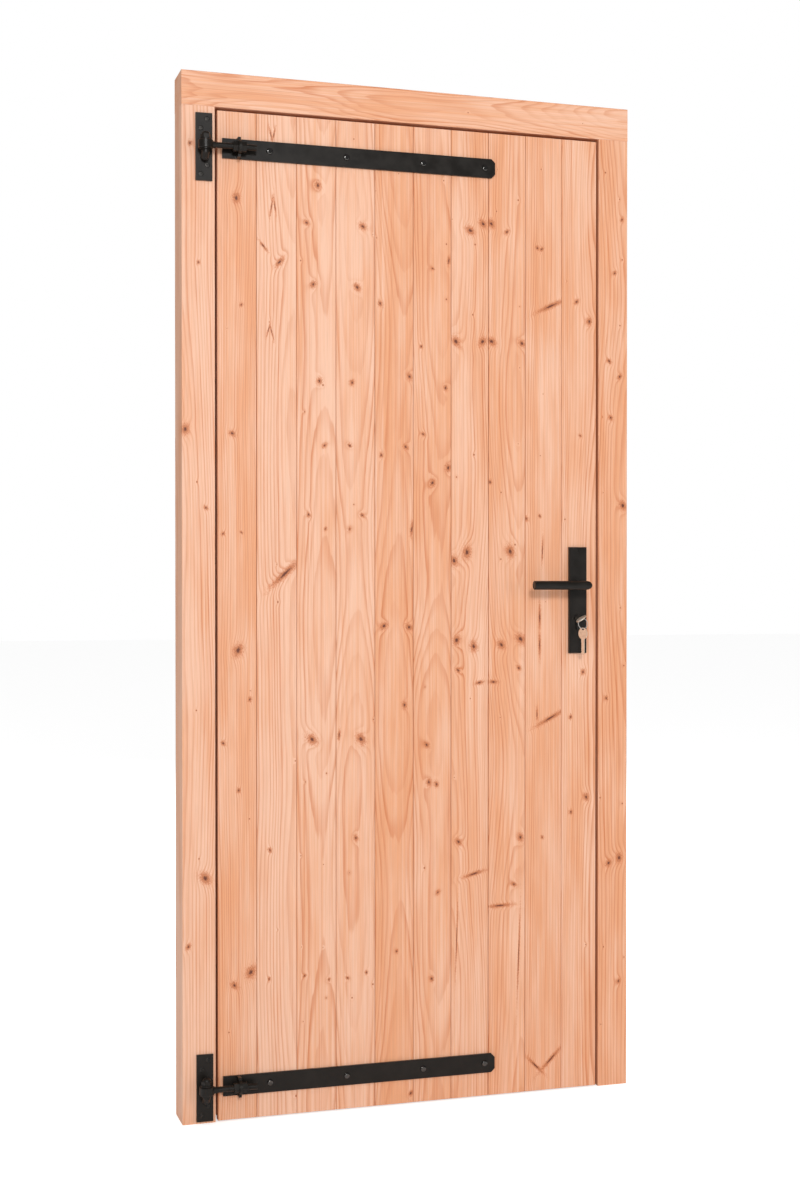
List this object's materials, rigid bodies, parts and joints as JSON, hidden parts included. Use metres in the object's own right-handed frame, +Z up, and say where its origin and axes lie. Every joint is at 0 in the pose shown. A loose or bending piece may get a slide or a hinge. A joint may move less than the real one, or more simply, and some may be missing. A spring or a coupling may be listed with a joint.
{
  "type": "plank door in a timber frame with strap hinges",
  "caption": "Outward-opening tongued and grooved plank door in a planed timber frame, on adjustable strap hinges, with a lever lock and keys.",
  "frame": {"origin": "foot of the hinge jamb's outer side face, at floor level and at the middle of the frame's depth", "axes": "+X along the door from the hinge side to the lock side, +Y through the door from outside to inside, +Z up"},
  "size_m": [0.98, 0.179, 2.13],
  "materials": {
    "plank_fir": "planed",
    "frame_fir": "planed",
    "framing_fir": "planed",
    "black_ironwork": "satin",
    "lock_steel": "satin",
    "cylinder_dark": "satin",
    "key_brass": "satin",
    "ring_steel": "polished"
  },
  "bodies": {
    "frame": {"hinge_jamb": "frame_fir", "lock_jamb": "frame_fir", "head_jamb": "frame_fir", "hinge_stop": "frame_fir", "lock_stop": "frame_fir", "head_stop": "frame_fir", "strike_plate": "lock_steel", "upper_pintle": "black_ironwork", "lower_pintle": "black_ironwork", "pintle_nuts": "black_ironwork"},
    "leaf": {"plank_01": "plank_fir", "plank_02": "plank_fir", "plank_03": "plank_fir", "plank_04": "plank_fir", "plank_05": "plank_fir", "plank_06": "plank_fir", "plank_07": "plank_fir", "plank_08": "plank_fir", "plank_09": "plank_fir", "plank_10": "plank_fir", "leaf_hinge_stile": "framing_fir", "leaf_lock_stile": "framing_fir", "leaf_top_rail": "framing_fir", "leaf_middle_rail": "framing_fir", "leaf_bottom_rail": "framing_fir", "lower_brace": "framing_fir", "upper_brace": "framing_fir", "upper_strap": "black_ironwork", "lower_strap": "black_ironwork", "upper_eye_bolt": "black_ironwork", "lower_eye_bolt": "black_ironwork", "strap_nuts": "black_ironwork", "outside_plate": "black_ironwork", "inside_plate": "black_ironwork", "lock_case": "lock_steel", "lock_faceplate": "lock_steel", "lock_bolts": "lock_steel", "lock_cylinder": "cylinder_dark"},
    "levers": {"outside_lever": "black_ironwork", "inside_lever": "black_ironwork", "lever_spindle": "lock_steel"},
    "key": {"lock_key": "key_brass", "cylinder_plug": "cylinder_dark"},
    "key_ring": {"key_ring": "ring_steel", "spare_key": "key_brass"}
  },
  "joints": [
    {"name": "leaf_swing", "type": "hinge", "parent": "frame", "child": "leaf", "pos_m": [0.045, -0.063, 0], "axis": [0, 0, -1], "range_deg": [0, 175]},
    {"name": "lever_turn", "type": "hinge", "parent": "leaf", "child": "levers", "pos_m": [0.861, 0, 1.092], "axis": [0, -1, 0], "range_deg": [0, 40], "stiffness_Nm_per_rad": 1.2, "springref_deg": -34.38},
    {"name": "key_turn", "type": "hinge", "parent": "leaf", "child": "key", "pos_m": [0.861, 0, 1.02], "axis": [0, 1, 0], "range_deg": [-110, 0]},
    {"name": "key_ring_swing", "type": "hinge", "parent": "leaf", "child": "key_ring", "pos_m": [0.861, -0.0744, 1.02], "axis": [-1, 0, 0], "range_deg": [0, 60]}
  ]
}
